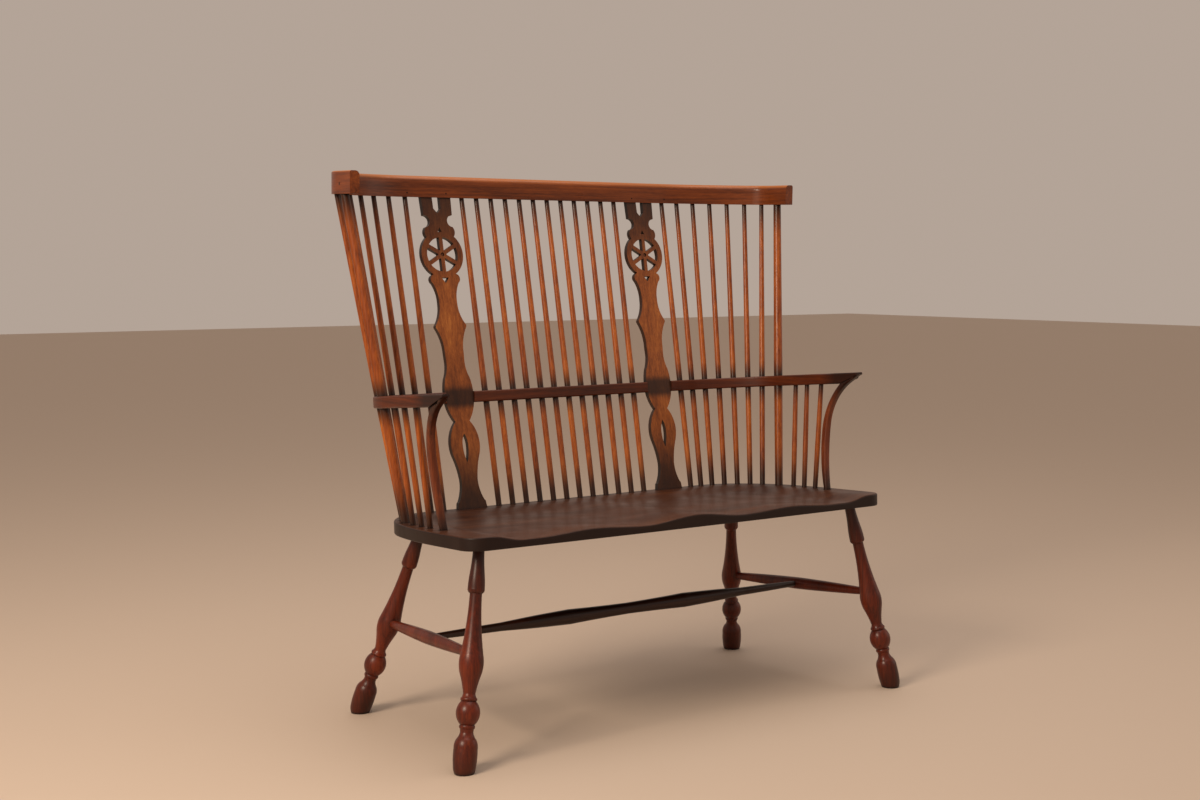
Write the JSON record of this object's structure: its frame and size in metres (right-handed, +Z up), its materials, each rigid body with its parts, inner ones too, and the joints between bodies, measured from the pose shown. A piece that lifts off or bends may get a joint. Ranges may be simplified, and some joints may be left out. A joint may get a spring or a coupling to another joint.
{
  "type": "spindle back settee",
  "caption": "Wooden settee with a saddled plank seat, a high back of turned sticks and pierced splats under a bent comb, arms on curved supports, and splayed turned legs.",
  "frame": {"origin": "on the floor under the middle of the whole bench, seen from above", "axes": "+X along the bench to the right of someone looking at its front, -Y towards the front, where sitters face, +Z up"},
  "size_m": [1.2024, 0.6248, 1.1634],
  "materials": {
    "seat_plank": "dark stained and polished hardwood",
    "bent_comb": "dark stained and polished hardwood",
    "arm_bow": "dark stained and polished hardwood",
    "turned_sticks": "dark stained and polished hardwood",
    "fretted_splats": "dark stained and polished hardwood",
    "arm_supports": "dark stained and polished hardwood",
    "turned_legs": "dark stained and polished hardwood",
    "steel_nails": "dull dark iron"
  },
  "bodies": {
    "root": {"arm_bow": "arm_bow", "arm_support_left": "arm_supports", "arm_support_right": "arm_supports", "comb": "bent_comb", "comb_pins": "steel_nails", "leg_front_left": "turned_legs", "leg_front_right": "turned_legs", "leg_rear_left": "turned_legs", "leg_rear_right": "turned_legs", "post_left": "turned_sticks", "post_right": "turned_sticks", "seat": "seat_plank", "short_spindle_left_1": "turned_sticks", "short_spindle_left_2": "turned_sticks", "short_spindle_left_3": "turned_sticks", "short_spindle_right_1": "turned_sticks", "short_spindle_right_2": "turned_sticks", "short_spindle_right_3": "turned_sticks", "spindle_left_1": "turned_sticks", "spindle_left_2": "turned_sticks", "spindle_left_3": "turned_sticks", "spindle_left_4": "turned_sticks", "spindle_left_5": "turned_sticks", "spindle_left_6": "turned_sticks", "spindle_left_7": "turned_sticks", "spindle_middle_01": "turned_sticks", "spindle_middle_02": "turned_sticks", "spindle_middle_03": "turned_sticks", "spindle_middle_04": "turned_sticks", "spindle_middle_05": "turned_sticks", "spindle_middle_06": "turned_sticks", "spindle_middle_07": "turned_sticks", "spindle_middle_08": "turned_sticks", "spindle_middle_09": "turned_sticks", "spindle_middle_10": "turned_sticks", "spindle_middle_11": "turned_sticks", "spindle_middle_12": "turned_sticks", "spindle_right_1": "turned_sticks", "spindle_right_2": "turned_sticks", "spindle_right_3": "turned_sticks", "spindle_right_4": "turned_sticks", "spindle_right_5": "turned_sticks", "spindle_right_6": "turned_sticks", "spindle_right_7": "turned_sticks", "splat_left": "fretted_splats", "splat_right": "fretted_splats", "stretcher_centre": "turned_legs", "stretcher_left": "turned_legs", "stretcher_right": "turned_legs"}
  },
  "joints": []
}
